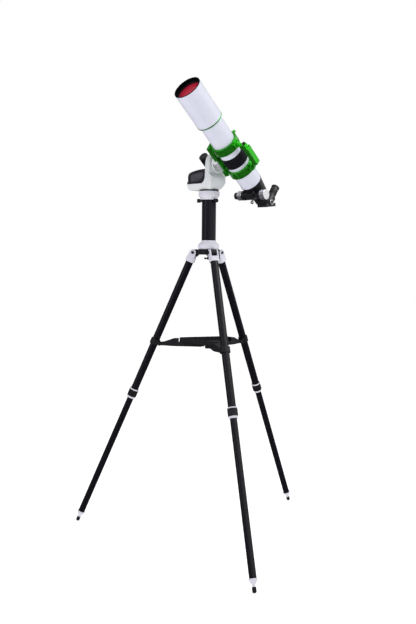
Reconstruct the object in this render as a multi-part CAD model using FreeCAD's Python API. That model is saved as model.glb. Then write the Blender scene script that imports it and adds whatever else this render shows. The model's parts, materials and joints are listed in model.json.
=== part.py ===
import FreeCAD, Part
import math
import os

# Refractor telescope on a motorised altitude-azimuth arm, a short pillar and a tripod.
# Millimetres, +Z up. The model is drawn with the pillar axis on X = Y = 0 and the floor
# at Z = 0, then moved so that the origin is the bottom centre of its bounding box.

# ---- driving dimensions: tripod -------------------------------------------------------
LEG_AZIMUTH = {"front": -32.46, "right": 87.54, "left": -152.46}
HINGE_RADIUS = 60.8
HINGE_HEIGHT = 1138.4
FOOT_RADIUS = 561.0
LEG_LENGTH = math.hypot(FOOT_RADIUS - HINGE_RADIUS, HINGE_HEIGHT)
LEAN = math.degrees(math.atan2(FOOT_RADIUS - HINGE_RADIUS, HINGE_HEIGHT))
UPPER_R = 15.0
UPPER_BORE_R = 13.6
UPPER_TOP = -26.0
UPPER_END = -640.0
GROOVES = 8
GROOVE_WIDTH = 3.0
GROOVE_DEPTH = 0.6
LOWER_R = 13.0
LOWER_BORE_R = 11.6
LOWER_TOP = -575.0
LOCK_TOP = -610.0
LOCK_COLLAR_TOP = -614.5
LOCK_COLLAR_END = -643.0
LOCK_END = -651.0
LOCK_R = 18.8
LOCK_SLIP = 0.35
TIP_R = 7.8
TIP_LENGTH = 20.0
NECK_R = 5.5
NECK_LENGTH = 8.5
COLLAR_R = 15.6
COLLAR_LENGTH = 20.0
PIN_R = 4.0
RUNNING = 0.06

# ---- driving dimensions: spreader and tray --------------------------------------------
CLAMP_DOWN = 394.0
CLAMP_HALF = 11.0
CLAMP_R = 19.5
SPREADER_PIVOT_IN = 24.0
SPREADER_PIN_R = 3.0
ARM_HALF_END = 7.4
ARM_HALF_WIDE = 17.0
ARM_BOTTOM = 762.5
ARM_TOP_OUTER = 778.0
ARM_TOP_STEP = 792.5
TRAY_CORNER = 116.0
TRAY_CORNER_R = 14.0
TRAY_BOTTOM = 779.5
TRAY_PLATE = 3.0
TRAY_TOP = 797.0
TRAY_WALL = 2.5
TRAY_HOLE_R = 16.5
TRAY_HOLE_RADIUS = 44.0
HUB_PLATE_R = 26.0

# ---- driving dimensions: head and pillar ----------------------------------------------
HEAD_BOTTOM = 1130.0
HEAD_TOP = 1151.0
HEAD_R = 43.0
LUG_HALF = 11.5
LUG_R = 11.0
FORK_GAP_HALF = 12.0
FORK_HALF = 17.2
FORK_R = 13.0
PILLAR_R = 28.0
PILLAR_BORE_R = 25.5
PILLAR_BOTTOM = 1186.0
PILLAR_TOP = 1345.0
FLANGE_R = 41.0
MOUNT_FLOOR = 1378.0
PILLAR_SCREW_AZIMUTH = (-7.9, -127.9, 112.1)
PILLAR_SCREW_HEIGHT = 1340.5

# ---- driving dimensions: mount --------------------------------------------------------
SHELL_BOTTOM = 1383.0
TAIL_TOP = 1407.0
TAIL_END_X = -81.0
ARM_INNER_X = 16.0
ARM_OUTER_X = 39.0
BULGE_X = 50.0
BULGE_Y = 48.0
ARM_TOP_R = 45.5
AXIS_HEIGHT = 1480.0
CROOK_R = 25.0
AZIMUTH_SHAFT_R = 9.0
ALTITUDE_SHAFT_R = 6.0
SADDLE_R = 35.0
SADDLE_FACE_X = 47.7
SADDLE_BLOCK_R = 33.5
SADDLE_BLOCK_S = 8.0
JAW_TOP_A = -69.0
JAW_SLIP = 0.2

# ---- driving dimensions: telescope, in the tube frame ---------------------------------
# The tube frame has X away from the mount (a), Y up across the tube (b) and Z forward
# along the optical axis (s); its origin is where the altitude axis meets the tube axis.
TUBE_TILT = 38.3
TUBE_OFFSET_X = 141.3
TUBE_R = 43.6
TUBE_BORE_R = 41.6
TUBE_REAR = -104.0
TUBE_FRONT = 330.0
SHIELD_R = 51.0
SHIELD_BORE_R = 49.4
SHIELD_REAR = 219.0
SHIELD_FRONT = 369.0
TRIM_REAR = 214.0
CELL_FRONT = 355.0
LENS_R = 45.0
LENS_REAR = 337.0
LENS_CURVE = 300.0
RING_R = 52.0
RING_1 = (80.0, 111.0)
RING_2 = (-39.0, -8.0)
RING_SPLIT = -13.0
RING_HINGE = 160.0
CAP_SLIP = 0.4
BAR_FACE_A = -78.0
BAR_TOP_A = -63.0
BAR_HALF_FACE = 22.0
BAR_HALF_TOP = 18.0
BAR_S = (-48.0, 101.0)
GRIP_S = (7.0, 54.0)
GRIP_R = 45.5
HANDLE_SEAT_A = 62.0
HANDLE_BLOCK_END = 85.5
HANDLE_INNER_A = 73.0
HANDLE_OUTER_A = 93.0
HANDLE_S = (-10.0, 71.0)
HANDLE_HALF = 12.6
FOCUSER_END = -173.0
AXLE_B = -43.0
AXLE_S = -136.0
DRAWTUBE_R = 27.5
ELBOW_S = -242.0
EYEPIECE_R = 15.8
EYEPIECE_TOP = 97.0

PARTS = {}


# ---- helpers --------------------------------------------------------------------------
def vec(point):
    return FreeCAD.Vector(*point)


def rod(radius, start, end):
    """Cylinder between two points."""
    line = vec(end) - vec(start)
    return Part.makeCylinder(radius, line.Length, vec(start), line)


def tube(outer, inner, start, end):
    return rod(outer, start, end).cut(rod(inner, start, end))


def box(low, high):
    size = vec(high) - vec(low)
    return Part.makeBox(size.x, size.y, size.z, vec(low))


def fuse(shapes):
    joined = shapes[0]
    for other in shapes[1:]:
        joined = joined.fuse(other)
    return joined.removeSplitter()


def lathe(profile):
    """Solid of revolution about Z from (radius, height) points."""
    points = [vec((r, 0, z)) for r, z in profile]
    face = Part.Face(Part.makePolygon(points + points[:1]))
    return face.revolve(vec((0, 0, 0)), vec((0, 0, 1)), 360)


def prism(points, direction):
    """Polygon of 3D points pushed along a vector."""
    corners = [vec(p) for p in points]
    return Part.Face(Part.makePolygon(corners + corners[:1])).extrude(vec(direction))


def side_prism(outline, half):
    """Outline in X, Z, as wide as half to each side of Y = 0."""
    return prism([(x, -half, z) for x, z in outline], (0, 2 * half, 0))


def round_edges(solid, radius, choose):
    """Fillet the straight or round edges that choose() accepts."""
    edges = [edge for edge in solid.Edges if choose(edge)]
    return solid.makeFillet(radius, edges)


def along(edge, axis):
    """True when a straight edge runs along the given axis."""
    if not isinstance(edge.Curve, Part.Line):
        return False
    return abs(edge.tangentAt(edge.FirstParameter).dot(vec(axis))) > 0.999


def pie(radius, start, sweep, low, high):
    """Slice of a cylinder about Z, from an angle and through a sweep in degrees."""
    piece = Part.makeCylinder(radius, high - low, vec((0, 0, low)), vec((0, 0, 1)), sweep)
    piece.rotate(vec((0, 0, 0)), vec((0, 0, 1)), start)
    return piece


def turned(shape, angle, axis=(0, 0, 1), centre=(0, 0, 0)):
    copy = shape.copy()
    copy.rotate(vec(centre), vec(axis), angle)
    return copy


def moved(shape, shift):
    copy = shape.copy()
    copy.translate(vec(shift))
    return copy


def on_leg(shape, azimuth):
    """From the hanging leg frame (hinge at the origin, leg down) to the model."""
    leaning = turned(shape, -LEAN, (0, 1, 0))
    return turned(moved(leaning, (HINGE_RADIUS, 0, HINGE_HEIGHT)), azimuth)


def on_tube(shape):
    """From the tube frame to the model."""
    tilted = turned(shape, 90 - TUBE_TILT, (1, 0, 0))
    return moved(tilted, (TUBE_OFFSET_X, 0, AXIS_HEIGHT))


def keep(name, shapes):
    """Store one node, made of one or more separate solids."""
    PARTS[name] = Part.makeCompound(shapes) if len(shapes) > 1 else shapes[0]


# ---- tripod legs ----------------------------------------------------------------------
def leg_bracket():
    socket_end = -39.5
    gap_floor = -19.0
    body_half = 16.8
    corner_r = 21.0
    side = [(-FORK_R, 0), (FORK_R, 0), (body_half, -30), (body_half, socket_end),
            (-body_half, socket_end), (-body_half, -30)]
    body = fuse([side_prism(side, FORK_HALF),
                 rod(FORK_R, (0, -FORK_HALF, 0), (0, FORK_HALF, 0))])
    body = body.common(rod(corner_r, (0, 0, socket_end), (0, 0, FORK_R)))
    gap = box((-30, -FORK_GAP_HALF, gap_floor), (30, FORK_GAP_HALF, 30))
    bore = rod(PIN_R + RUNNING, (0, -30, 0), (0, 30, 0))
    socket = rod(UPPER_R, (0, 0, socket_end), (0, 0, UPPER_TOP))
    return body.cut(gap).cut(bore).cut(socket)


def upper_tube():
    pipe = tube(UPPER_R, UPPER_BORE_R, (0, 0, UPPER_END), (0, 0, UPPER_TOP))
    groove = box((UPPER_R - GROOVE_DEPTH, -GROOVE_WIDTH / 2, LOCK_TOP + 4),
                 (UPPER_R + 1, GROOVE_WIDTH / 2, -50))
    for index in range(GROOVES):
        pipe = pipe.cut(turned(groove, index * 360 / GROOVES))
    return pipe


def twist_lock():
    """Top ring, collar and lower ring: three solids that turn together."""
    slip = UPPER_R + LOCK_SLIP
    top = tube(LOCK_R + 0.6, slip, (0, 0, LOCK_COLLAR_TOP), (0, 0, LOCK_TOP))
    collar = tube(LOCK_R, slip, (0, 0, LOCK_COLLAR_END), (0, 0, LOCK_COLLAR_TOP))
    lower = lathe([(LOWER_R + LOCK_SLIP, LOCK_END), (LOCK_R - 3, LOCK_END),
                   (LOCK_R - 1, LOCK_END + 3), (LOCK_R - 1, LOCK_COLLAR_END),
                   (LOWER_R + LOCK_SLIP, LOCK_COLLAR_END)])
    return [top, collar, lower]


def lower_tube():
    return tube(LOWER_R, LOWER_BORE_R, (0, 0, collar_top() - 6), (0, 0, LOWER_TOP))


def collar_top():
    return -LEG_LENGTH + TIP_LENGTH + NECK_LENGTH + COLLAR_LENGTH


def foot():
    """White collar with its neck, and the rubber tip."""
    top = collar_top()
    cone_end = top - COLLAR_LENGTH
    neck_end = cone_end - NECK_LENGTH
    collar = lathe([(LOWER_R, top), (COLLAR_R, top), (COLLAR_R, top - 7), (9, cone_end + 2),
                    (NECK_R, cone_end), (NECK_R, neck_end), (0, neck_end),
                    (0, top - 6), (LOWER_R, top - 6)])
    round_centre = -LEG_LENGTH + TIP_R
    tip = fuse([rod(TIP_R, (0, 0, round_centre), (0, 0, neck_end)),
                Part.makeSphere(TIP_R, vec((0, 0, round_centre)), vec((0, 1, 0)))])
    return collar, tip


def spreader_clamp():
    """Band round the upper tube with two ears and the arm's pin."""
    ear_half = 12.0
    pivot = (-SPREADER_PIVOT_IN, 0, -CLAMP_DOWN)
    low = -CLAMP_DOWN - CLAMP_HALF
    high = -CLAMP_DOWN + CLAMP_HALF
    band = rod(CLAMP_R, (0, 0, low), (0, 0, high))
    ears = fuse([box((-SPREADER_PIVOT_IN, -ear_half, -CLAMP_DOWN - 7),
                     (0, ear_half, -CLAMP_DOWN + 7)),
                 rod(7, (pivot[0], -ear_half, pivot[2]), (pivot[0], ear_half, pivot[2]))])
    slot = box((-SPREADER_PIVOT_IN - 12, -ARM_HALF_END - 0.4, low - 1),
               (-SPREADER_PIVOT_IN + 9.2, ARM_HALF_END + 0.4, high + 1))
    pin = rod(SPREADER_PIN_R, (pivot[0], -ear_half + 1, pivot[2]),
              (pivot[0], ear_half - 1, pivot[2]))
    body = fuse([band, ears]).cut(slot)
    body = fuse([body, pin])
    return body.cut(rod(UPPER_R, (0, 0, low - 1), (0, 0, high + 1)))


def arm_pivot():
    """Radius and height of the spreader arm's outer pivot."""
    lean = math.radians(LEAN)
    radius = HINGE_RADIUS - SPREADER_PIVOT_IN * math.cos(lean) + CLAMP_DOWN * math.sin(lean)
    height = HINGE_HEIGHT - SPREADER_PIVOT_IN * math.sin(lean) - CLAMP_DOWN * math.cos(lean)
    return radius, height


def spreader_arm():
    """Channel from the leg clamp to the hub; it rises beside the tray's corner."""
    radius, height = arm_pivot()
    inner_end = 26.0
    step = TRAY_CORNER + 8
    side = [(inner_end, ARM_BOTTOM), (radius, ARM_BOTTOM), (radius, ARM_TOP_OUTER - 2),
            (182, ARM_TOP_OUTER), (142, ARM_TOP_STEP), (step, ARM_TOP_STEP),
            (step, ARM_TOP_OUTER), (62, ARM_TOP_OUTER), (40, ARM_TOP_OUTER - 7),
            (inner_end, ARM_TOP_OUTER - 7)]
    plan = [(inner_end, -8), (70, -9), (step - 4, -ARM_HALF_WIDE), (144, -ARM_HALF_WIDE),
            (180, -ARM_HALF_END), (radius + 8, -ARM_HALF_END)]
    plan = plan + [(x, -y) for x, y in reversed(plan)]
    floor = [(x, y, ARM_BOTTOM - 20) for x, y in plan]
    body = side_prism(side, 30).common(prism(floor, (0, 0, 60)))
    eye = rod(6.6, (radius, -ARM_HALF_END, height), (radius, ARM_HALF_END, height))
    body = fuse([body.cut(box((radius - 1, -30, 740), (radius + 9, 30, 800))),
                 box((radius - 12, -ARM_HALF_END, height - 5.5), (radius, ARM_HALF_END, height + 6.6)),
                 eye])
    return body.cut(rod(SPREADER_PIN_R + RUNNING, (radius, -30, height), (radius, 30, height)))


def make_legs():
    floor_cut = box((-1000, -1000, -50), (1000, 1000, 0))
    for name, azimuth in LEG_AZIMUTH.items():
        keep("leg_bracket_" + name, [on_leg(leg_bracket(), azimuth)])
        keep("upper_tube_" + name, [on_leg(upper_tube(), azimuth)])
        keep("twist_lock_" + name, [on_leg(piece, azimuth) for piece in twist_lock()])
        keep("lower_tube_" + name, [on_leg(lower_tube(), azimuth)])
        collar, tip = foot()
        keep("foot_" + name, [on_leg(collar, azimuth), on_leg(tip, azimuth).cut(floor_cut)])
        keep("spreader_clamp_" + name, [on_leg(spreader_clamp(), azimuth)])
        keep("spreader_arm_" + name, [turned(spreader_arm(), azimuth)])


# ---- spreader hub and tray ------------------------------------------------------------
def spreader_hub():
    """Top plate, centre boss and two cheeks beside each arm's inner end."""
    plate = rod(HUB_PLATE_R, (0, 0, TRAY_BOTTOM - 3), (0, 0, TRAY_BOTTOM))
    boss = rod(8, (0, 0, 768), (0, 0, TRAY_BOTTOM))
    parts = [plate, boss]
    for azimuth in LEG_AZIMUTH.values():
        for side in (-1, 1):
            inner = side * 9.6
            outer = side * 12.0
            low_y, high_y = sorted((inner, outer))
            cheek = box((12, low_y, 765), (23, high_y, TRAY_BOTTOM - 2))
            parts.append(turned(cheek, azimuth))
    return fuse(parts).cut(rod(4, (0, 0, 750), (0, 0, TRAY_BOTTOM + 1)))


def rounded_triangle(inset, low, high):
    reach = TRAY_CORNER - TRAY_CORNER_R
    radius = TRAY_CORNER_R - inset
    pieces = []
    corners = []
    for azimuth in LEG_AZIMUTH.values():
        angle = math.radians(azimuth)
        corner = (reach * math.cos(angle), reach * math.sin(angle))
        corners.append(corner)
        pieces.append(rod(radius, corner + (low,), corner + (high,)))
    hexagon = []
    for index, corner in enumerate(corners):
        for other in (corners[index - 1], corners[(index + 1) % len(corners)]):
            run = vec((other[0] - corner[0], other[1] - corner[1], 0)).normalize()
            normal = vec((run.y, -run.x, 0))
            if normal.dot(vec((corner[0], corner[1], 0))) < 0:
                normal = normal * -1
            point = vec((corner[0], corner[1], low)) + normal * radius
            hexagon.append((point.x, point.y, low))
    pieces.append(prism(hexagon, (0, 0, high - low)))
    return fuse(pieces)


def accessory_tray():
    outer = rounded_triangle(0, TRAY_BOTTOM, TRAY_TOP)
    inner = rounded_triangle(TRAY_WALL, TRAY_BOTTOM + TRAY_PLATE, TRAY_TOP + 1)
    tray = outer.cut(inner)
    for azimuth in LEG_AZIMUTH.values():
        angle = math.radians(azimuth + 60)
        x = TRAY_HOLE_RADIUS * math.cos(angle)
        y = TRAY_HOLE_RADIUS * math.sin(angle)
        tray = tray.cut(rod(TRAY_HOLE_R, (x, y, TRAY_BOTTOM - 1), (x, y, TRAY_BOTTOM + 4)))
    return tray.cut(rod(4, (0, 0, TRAY_BOTTOM - 1), (0, 0, TRAY_BOTTOM + 5)))


def tray_knob():
    """Knob under the hub, whose bolt comes up through the tray."""
    knob = rod(11, (0, 0, 757), (0, 0, 767.6))
    for index in range(8):
        flute = rod(2.6, (12.2, 0, 756), (12.2, 0, 768))
        knob = knob.cut(turned(flute, index * 45))
    bolt = rod(4 - RUNNING, (0, 0, 760), (0, 0, TRAY_BOTTOM + 7))
    head = rod(7, (0, 0, TRAY_BOTTOM + TRAY_PLATE + 0.4), (0, 0, TRAY_BOTTOM + 7))
    return fuse([knob, bolt, head])


# ---- head and pillar ------------------------------------------------------------------
def hub_plate():
    side = [(20, HEAD_BOTTOM), (40, HEAD_BOTTOM), (48, HEAD_BOTTOM - 8),
            (57, HEAD_BOTTOM - 4), (HINGE_RADIUS, HINGE_HEIGHT - LUG_R),
            (HINGE_RADIUS, HINGE_HEIGHT + LUG_R), (48, HEAD_TOP), (20, HEAD_TOP)]
    pieces = [rod(HEAD_R, (0, 0, HEAD_BOTTOM), (0, 0, HEAD_TOP))]
    for azimuth in LEG_AZIMUTH.values():
        lug = fuse([side_prism(side, LUG_HALF),
                    rod(LUG_R, (HINGE_RADIUS, -LUG_HALF, HINGE_HEIGHT),
                        (HINGE_RADIUS, LUG_HALF, HINGE_HEIGHT))])
        lug = lug.cut(rod(PIN_R, (HINGE_RADIUS, -30, HINGE_HEIGHT), (HINGE_RADIUS, 30, HINGE_HEIGHT)))
        pieces.append(turned(lug, azimuth))
    plate = fuse(pieces)
    hollow = tube(36, 14, (0, 0, HEAD_BOTTOM - 1), (0, 0, HEAD_BOTTOM + 13))
    centre = rod(PIN_R + RUNNING, (0, 0, HEAD_BOTTOM - 20), (0, 0, HEAD_TOP + 1))
    return plate.cut(hollow).cut(centre)


def hinge_bolts():
    reach = FORK_HALF + 0.4
    head = 3.0
    bolts = []
    for azimuth in LEG_AZIMUTH.values():
        start = (HINGE_RADIUS, -reach, HINGE_HEIGHT)
        end = (HINGE_RADIUS, reach, HINGE_HEIGHT)
        bolt = fuse([rod(PIN_R, start, end),
                     rod(5.5, (start[0], start[1] - head, start[2]), start),
                     rod(5.5, end, (end[0], end[1] + head, end[2]))])
        bolts.append(turned(bolt, azimuth))
    return bolts


def centre_bolt():
    bar_height = 1115.5
    stem = rod(PIN_R, (0, 0, bar_height - 4), (0, 0, PILLAR_BOTTOM - 16))
    collar = rod(6.5, (0, 0, bar_height - 5), (0, 0, bar_height + 5))
    shoulder = rod(9, (0, 0, HEAD_BOTTOM - 3.4), (0, 0, HEAD_BOTTOM - 0.4))
    bar = rod(2.6, (-17, 0, bar_height), (17, 0, bar_height))
    ends = [Part.makeSphere(4.2, vec((side * 17, 0, bar_height))) for side in (-1, 1)]
    return fuse([stem, collar, shoulder, bar] + ends)


def pillar_base_flange():
    bore = PIN_R + RUNNING
    rim = PILLAR_R + 1
    return lathe([(bore, HEAD_TOP), (FLANGE_R - 2, HEAD_TOP), (FLANGE_R, HEAD_TOP + 3),
                  (FLANGE_R, HEAD_TOP + 18), (FLANGE_R - 7, HEAD_TOP + 26), (rim, HEAD_TOP + 29),
                  (rim, PILLAR_BOTTOM), (PILLAR_BORE_R, PILLAR_BOTTOM),
                  (PILLAR_BORE_R, PILLAR_BOTTOM + 18), (PILLAR_BORE_R - 4, PILLAR_BOTTOM + 18),
                  (PILLAR_BORE_R - 4, PILLAR_BOTTOM - 15), (bore, PILLAR_BOTTOM - 15)])


def screw_frame(shape, azimuth):
    return turned(moved(shape, (0, 0, PILLAR_SCREW_HEIGHT)), azimuth)


def pillar_tube():
    pipe = tube(PILLAR_R, PILLAR_BORE_R, (0, 0, PILLAR_BOTTOM), (0, 0, PILLAR_TOP))
    for azimuth in PILLAR_SCREW_AZIMUTH:
        pipe = pipe.cut(screw_frame(rod(3, (10, 0, 0), (40, 0, 0)), azimuth))
    return pipe


def pillar_top_flange():
    spigot = PILLAR_BORE_R
    flange = lathe([(AZIMUTH_SHAFT_R, PILLAR_TOP - 24), (spigot, PILLAR_TOP - 24),
                    (spigot, PILLAR_TOP), (PILLAR_R + 0.5, PILLAR_TOP),
                    (FLANGE_R - 4, PILLAR_TOP + 12), (FLANGE_R, PILLAR_TOP + 15),
                    (FLANGE_R, MOUNT_FLOOR - 2), (FLANGE_R - 2, MOUNT_FLOOR),
                    (AZIMUTH_SHAFT_R, MOUNT_FLOOR)])
    for azimuth in PILLAR_SCREW_AZIMUTH:
        flange = flange.cut(screw_frame(rod(3, (17, 0, 0), (PILLAR_R, 0, 0)), azimuth))
    return flange


def pillar_screws():
    screws = []
    for azimuth in PILLAR_SCREW_AZIMUTH:
        knob = rod(7.6, (PILLAR_R + 6, 0, 0), (PILLAR_R + 19, 0, 0))
        for index in range(6):
            flute = rod(2, (PILLAR_R + 5, 0, 8.4), (PILLAR_R + 20, 0, 8.4))
            knob = knob.cut(turned(flute, index * 60, (1, 0, 0)))
        neck = rod(4.6, (PILLAR_R + 0.2, 0, 0), (PILLAR_R + 7, 0, 0))
        shank = rod(3, (18, 0, 0), (PILLAR_R + 7, 0, 0))
        screws.append(screw_frame(fuse([knob, neck, shank]), azimuth))
    return screws


# ---- mount ----------------------------------------------------------------------------
def azimuth_base():
    """Fixed disc on the pillar with the azimuth shaft and its worm wheel."""
    disc = rod(37.5, (0, 0, MOUNT_FLOOR), (0, 0, SHELL_BOTTOM - 0.4))
    shaft = rod(AZIMUTH_SHAFT_R, (0, 0, PILLAR_TOP - 20), (0, 0, 1402))
    wheel = rod(28, (0, 0, 1389), (0, 0, 1396))
    return fuse([disc, shaft, wheel])


def smooth_face(segments):
    """Planar face from straight runs and three-point arcs."""
    edges = []
    for points in segments:
        corners = [vec(p) for p in points]
        if len(corners) == 2:
            edges.append(Part.LineSegment(corners[0], corners[1]).toShape())
        else:
            edges.append(Part.Arc(*corners).toShape())
    return Part.Face(Part.Wire(Part.sortEdges(edges)[0]))


def mount_shell():
    """White L-shaped casting: tail, rounded base and the arm that carries the saddle."""
    top = AXIS_HEIGHT + ARM_TOP_R
    crook_x = ARM_INNER_X - CROOK_R
    crook_z = TAIL_TOP + CROOK_R
    quarter = CROOK_R * math.sqrt(0.5)
    base_x = 28.0
    base_y = 31.0
    waist = SHELL_BOTTOM + 42
    shoulder = SHELL_BOTTOM + 46
    arm_foot = (ARM_OUTER_X, 0, shoulder + 18)
    side = smooth_face([
        ((TAIL_END_X, 0, SHELL_BOTTOM + 4), (TAIL_END_X + 4, 0, SHELL_BOTTOM)),
        ((TAIL_END_X + 4, 0, SHELL_BOTTOM), (base_x, 0, SHELL_BOTTOM)),
        ((base_x, 0, SHELL_BOTTOM), (base_x + 13, 0, SHELL_BOTTOM + 17), (BULGE_X, 0, waist)),
        ((BULGE_X, 0, waist), (BULGE_X, 0, shoulder)),
        ((BULGE_X, 0, shoulder), (BULGE_X - 1.42, 0, shoulder + 5.44),
         (BULGE_X - 5.3, 0, shoulder + 9.5)),
        ((BULGE_X - 5.3, 0, shoulder + 9.5), (ARM_OUTER_X + 1.55, 0, shoulder + 12.9), arm_foot),
        (arm_foot, (ARM_OUTER_X, 0, top)),
        ((ARM_OUTER_X, 0, top), (ARM_INNER_X, 0, top)),
        ((ARM_INNER_X, 0, top), (ARM_INNER_X, 0, crook_z)),
        ((ARM_INNER_X, 0, crook_z), (crook_x + quarter, 0, crook_z - quarter),
         (crook_x, 0, TAIL_TOP)),
        ((crook_x, 0, TAIL_TOP), (TAIL_END_X, 0, TAIL_TOP)),
        ((TAIL_END_X, 0, TAIL_TOP), (TAIL_END_X, 0, SHELL_BOTTOM + 4))])
    side_solid = moved(side.extrude(vec((0, 120, 0))), (0, -60, 0))
    front = smooth_face([
        ((0, -base_y, SHELL_BOTTOM), (0, base_y, SHELL_BOTTOM)),
        ((0, base_y, SHELL_BOTTOM), (0, base_y + 10.5, SHELL_BOTTOM + 15), (0, BULGE_Y, waist)),
        ((0, BULGE_Y, waist), (0, ARM_TOP_R, AXIS_HEIGHT)),
        ((0, ARM_TOP_R, AXIS_HEIGHT), (0, 0, top), (0, -ARM_TOP_R, AXIS_HEIGHT)),
        ((0, -ARM_TOP_R, AXIS_HEIGHT), (0, -BULGE_Y, waist)),
        ((0, -BULGE_Y, waist), (0, -base_y - 10.5, SHELL_BOTTOM + 15),
         (0, -base_y, SHELL_BOTTOM))])
    front_solid = moved(front.extrude(vec((200, 0, 0))), (-120, 0, 0))
    plan = box((TAIL_END_X, -50, SHELL_BOTTOM - 5), (BULGE_X, 50, top + 5))
    plan = round_edges(plan, 16, lambda edge: along(edge, (0, 0, 1)))
    shell = side_solid.common(front_solid).common(plan)
    azimuth_room = rod(31, (0, 0, 1387), (0, 0, 1403.5))
    azimuth_bore = rod(AZIMUTH_SHAFT_R + RUNNING, (0, 0, SHELL_BOTTOM - 1), (0, 0, 1390))
    altitude_room = rod(31, (22, 0, AXIS_HEIGHT), (34, 0, AXIS_HEIGHT))
    altitude_bore = rod(ALTITUDE_SHAFT_R + RUNNING, (0, 0, AXIS_HEIGHT), (60, 0, AXIS_HEIGHT))
    return shell.cut(azimuth_room).cut(azimuth_bore).cut(altitude_room).cut(altitude_bore)


def cover_side(inset):
    """Side outline of the battery box, drawn in by an inset."""
    low = TAIL_TOP + inset
    left = TAIL_END_X + 5 + inset
    right = ARM_INNER_X - 0.2 - inset
    bend = CROOK_R - inset
    centre_x = ARM_INNER_X - CROOK_R - 0.2
    centre_z = TAIL_TOP + CROOK_R + 0.2
    quarter = bend * math.sqrt(0.5)
    return smooth_face([
        ((left, 0, low), (left, 0, 1437 - inset)),
        ((left, 0, 1437 - inset), (left + 4, 0, 1446 - inset), (left + 14, 0, 1452 - inset)),
        ((left + 14, 0, 1452 - inset), (-26, 0, 1459.5 - inset), (right, 0, 1461.5 - inset)),
        ((right, 0, 1461.5 - inset), (right, 0, centre_z)),
        ((right, 0, centre_z), (centre_x + quarter, 0, centre_z - quarter),
         (centre_x, 0, centre_z - bend)),
        ((centre_x, 0, centre_z - bend), (centre_x, 0, low)),
        ((centre_x, 0, low), (left, 0, low))])


def battery_cover():
    half = 41.5
    wall = 2.2
    outer = moved(cover_side(0).extrude(vec((0, 2 * half, 0))), (0, -half, 0))
    inner = moved(cover_side(wall).extrude(vec((0, 2 * half - 2 * wall, 0))), (0, wall - half, 0))
    return outer.cut(inner)


def battery_cells():
    cells = []
    for column in range(4):
        for row in range(2):
            x = -64.5 + 15.2 * column
            z = 1417.5 + 15.2 * row
            cell = fuse([rod(7.2, (x, -25, z), (x, 24, z)), rod(2.6, (x, 24, z), (x, 25.3, z))])
            cells.append(cell)
    return cells


def altitude_shaft():
    """Shaft through the arm, with its worm wheel inside."""
    shaft = rod(ALTITUDE_SHAFT_R, (8, 0, AXIS_HEIGHT), (ARM_OUTER_X + 6, 0, AXIS_HEIGHT))
    wheel = rod(28, (25, 0, AXIS_HEIGHT), (31, 0, AXIS_HEIGHT))
    return fuse([shaft, wheel])


def saddle():
    """Round disc and the block with the fixed jaw, in the tube frame."""
    face = SADDLE_FACE_X - TUBE_OFFSET_X
    back = ARM_OUTER_X + 0.8 - TUBE_OFFSET_X
    seat = BAR_FACE_A - 0.1
    disc = rod(SADDLE_R, (back, 0, 0), (face, 0, 0))
    disc = round_edges(disc, 1.6, lambda edge: edge.BoundBox.XMin > face - 0.1)
    low_s = (0, 0, -60)
    block = rod(SADDLE_BLOCK_R, (face - 1, 0, SADDLE_BLOCK_S), (JAW_TOP_A, 0, SADDLE_BLOCK_S))
    block = block.cut(box((face - 2, BAR_HALF_FACE, -60), (0, 60, 60)))
    channel = moved(prism([(seat, -BAR_HALF_FACE - JAW_SLIP, 0), (seat, 60, 0), (0, 60, 0),
                           (0, -BAR_HALF_TOP + 3, 0),
                           (BAR_TOP_A, -BAR_HALF_TOP - JAW_SLIP, 0)], (0, 0, 120)), low_s)
    body = fuse([disc, block.cut(channel)])
    for index in range(3):
        groove_a = face + 4 + index * 7
        groove = tube(SADDLE_BLOCK_R + 5, SADDLE_BLOCK_R - 2.5,
                      (groove_a, 0, SADDLE_BLOCK_S), (groove_a + 3, 0, SADDLE_BLOCK_S))
        body = body.cut(groove.common(box((-100, -60, -9), (0, -24, 27))))
    shaft_hole = rod(ALTITUDE_SHAFT_R, (back - 1, 0, 0), (ARM_OUTER_X + 6 - TUBE_OFFSET_X, 0, 0))
    screw_hole = rod(3.56, (-85.5, -10, 0), (-85.5, 30, 0))
    return body.cut(shaft_hole).cut(screw_hole)


def saddle_jaw():
    seat = BAR_FACE_A - 0.1
    low = BAR_HALF_FACE + JAW_SLIP
    start = SADDLE_BLOCK_S - 26
    jaw = prism([(-92, low, start), (seat, low, start), (-70, 20.5, start),
                 (-70, 29, start), (-73, 33, start), (-92, 33, start)], (0, 0, 52))
    return jaw.cut(rod(4, (-85.5, 10, 0), (-85.5, 40, 0)))


def saddle_knob():
    knob = rod(12.5, (-85.5, 36.5, 0), (-85.5, 53, 0))
    for index in range(8):
        flute = rod(3, (-85.5 + 13.5, 36, 0), (-85.5 + 13.5, 54, 0))
        knob = knob.cut(turned(flute, index * 45, (0, 1, 0), (-85.5, 0, 0)))
    shank = rod(3.5, (-85.5, -8, 0), (-85.5, 40, 0))
    return fuse([knob, shank])


def sun_sensor():
    """Solar finder on the inner end of the altitude shaft, parallel to the tube."""
    a = -4 - TUBE_OFFSET_X
    body = rod(18.5, (a, 4, -4.5), (a, 4, 47))
    body = round_edges(body, 3, lambda edge: edge.BoundBox.ZMin > 46)
    window = rod(9, (a, 4, 44.5), (a, 4, 48))
    shaft_hole = rod(ALTITUDE_SHAFT_R, (8 - TUBE_OFFSET_X, 0, 0), (40 - TUBE_OFFSET_X, 0, 0))
    trim = box((ARM_INNER_X - 1 - TUBE_OFFSET_X, -30, -30), (-80, 30, 60))
    return body.cut(window).cut(shaft_hole).cut(trim)


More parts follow.
